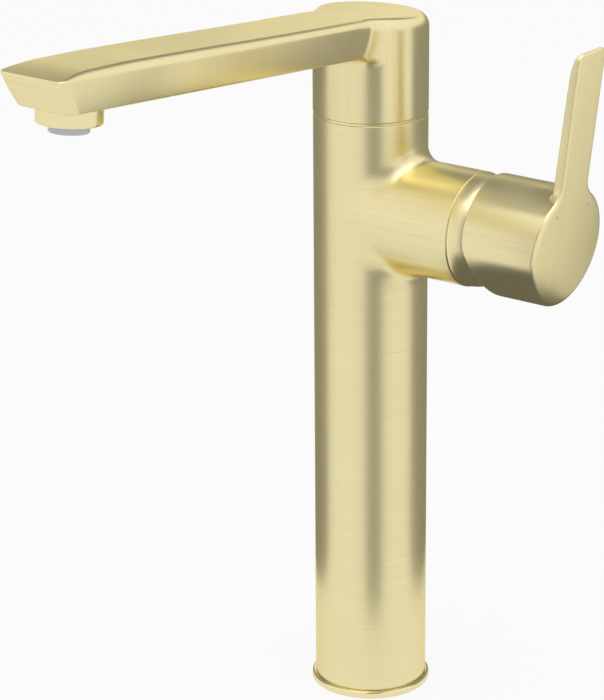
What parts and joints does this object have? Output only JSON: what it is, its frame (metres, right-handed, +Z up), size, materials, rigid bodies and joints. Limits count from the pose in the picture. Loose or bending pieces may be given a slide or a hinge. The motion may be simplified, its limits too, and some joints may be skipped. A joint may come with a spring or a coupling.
{
  "type": "basin mixer faucet",
  "caption": "Tall single-lever basin mixer in brushed pale gold, with a round column, a flat swivel spout, a side branch with an upright lever, and a ceramic disc cartridge inside",
  "frame": {"origin": "on the column's axis, in the plane of the base ring's underside, which lies on the deck", "axes": "+Z up along the column, +X along the side branch to the lever, -Y along the spout"},
  "size_m": [0.128, 0.2268, 0.3054],
  "materials": {
    "brushed_gold": "brushed, pale gold PVD coat on brass",
    "raw_brass": "turned",
    "copper_tube": "drawn copper",
    "stainless": "turned",
    "black_rubber": "moulded",
    "white_plastic": "moulded",
    "lilac_plastic": "moulded, grey lilac",
    "white_ceramic": "lapped alumina ceramic",
    "orange_mark": "filled mark",
    "blue_mark": "filled mark"
  },
  "bodies": {
    "column": {"base_ring": "brushed_gold", "base_gasket": "black_rubber", "inlet_foot": "raw_brass", "riser": "brushed_gold", "tee_body": "brushed_gold", "hot_tube": "copper_tube", "cold_tube": "copper_tube", "valve_block": "raw_brass", "nipple": "raw_brass", "nipple_seal": "black_rubber", "lower_swivel_seal": "black_rubber", "upper_swivel_seal": "black_rubber", "slip_ring": "brushed_gold", "stop_pin": "stainless", "port_seal": "black_rubber", "cartridge_base": "white_plastic", "cartridge_housing": "white_plastic", "fixed_disc": "white_ceramic", "retaining_nut": "raw_brass", "collar": "brushed_gold"},
    "swivel_spout": {"spout": "brushed_gold", "glide_sleeve": "white_plastic", "spout_screw": "stainless", "aerator_housing": "brushed_gold", "aerator_insert": "lilac_plastic", "aerator_screen": "stainless", "aerator_washer": "black_rubber"},
    "cartridge_rotor": {"rotor": "white_plastic", "pivot_pin": "stainless"},
    "lever": {"handle": "brushed_gold", "stem": "stainless", "stem_bushing": "white_plastic", "handle_screw": "stainless", "handle_plug": "brushed_gold", "hot_mark": "orange_mark", "cold_mark": "blue_mark"},
    "flow_disc": {"moving_disc": "white_ceramic", "disc_carrier": "white_plastic"}
  },
  "joints": [
    {"name": "spout_swivel", "type": "hinge", "parent": "column", "child": "swivel_spout", "pos_m": [0, 0, 0.2463], "axis": [0, 0, 1], "range_deg": [-60, 60]},
    {"name": "temperature", "type": "hinge", "parent": "column", "child": "cartridge_rotor", "pos_m": [0.055, 0, 0.2069], "axis": [1, 0, 0], "range_deg": [-45, 45]},
    {"name": "flow", "type": "hinge", "parent": "cartridge_rotor", "child": "lever", "pos_m": [0.055, 0, 0.2069], "axis": [0, 1, 0], "range_deg": [0, 24]},
    {"name": "disc_slide", "type": "slide", "parent": "cartridge_rotor", "child": "flow_disc", "axis": [0, 0, 1], "range_m": [0, 0.00624]}
  ],
  "couplings": [
    {"joint": "disc_slide", "follows": "flow", "m_per_rad": 0.01489}
  ]
}
